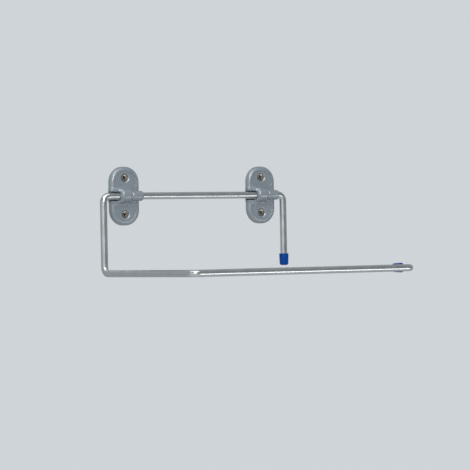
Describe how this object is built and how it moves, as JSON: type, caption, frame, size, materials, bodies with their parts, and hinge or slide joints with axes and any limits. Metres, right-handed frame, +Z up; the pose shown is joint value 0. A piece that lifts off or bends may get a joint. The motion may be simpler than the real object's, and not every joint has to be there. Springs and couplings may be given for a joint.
{
  "type": "wall-mounted paper towel holder",
  "caption": "Bent metal rod that carries a paper roll and pivots in moulded wall brackets, with soft end caps.",
  "frame": {"origin": "on the wall plane, midway between the two brackets and level with the pivot axis", "axes": "+Y into the wall, +X along the pivot axis to the right as seen from the room, +Z up"},
  "size_m": [0.2673, 0.1899, 0.1105],
  "materials": {
    "bracket_plastic": "satin moulded grey plastic",
    "screw_steel": "bright countersunk screws",
    "rod_steel": "bright drawn rod",
    "cap_vinyl": "satin blue vinyl"
  },
  "bodies": {
    "wall_brackets": {"left_bracket": "bracket_plastic", "right_bracket": "bracket_plastic", "left_upper_screw": "screw_steel", "left_lower_screw": "screw_steel", "right_upper_screw": "screw_steel", "right_lower_screw": "screw_steel"},
    "rod_frame": {"wire_frame": "rod_steel", "arm_end_cap": "cap_vinyl", "bar_end_cap": "cap_vinyl"}
  },
  "joints": [
    {"name": "frame_swing", "type": "hinge", "parent": "wall_brackets", "child": "rod_frame", "pos_m": [0, -0.0051, 0], "axis": [-1, 0, 0], "range_deg": [0, 115]}
  ]
}
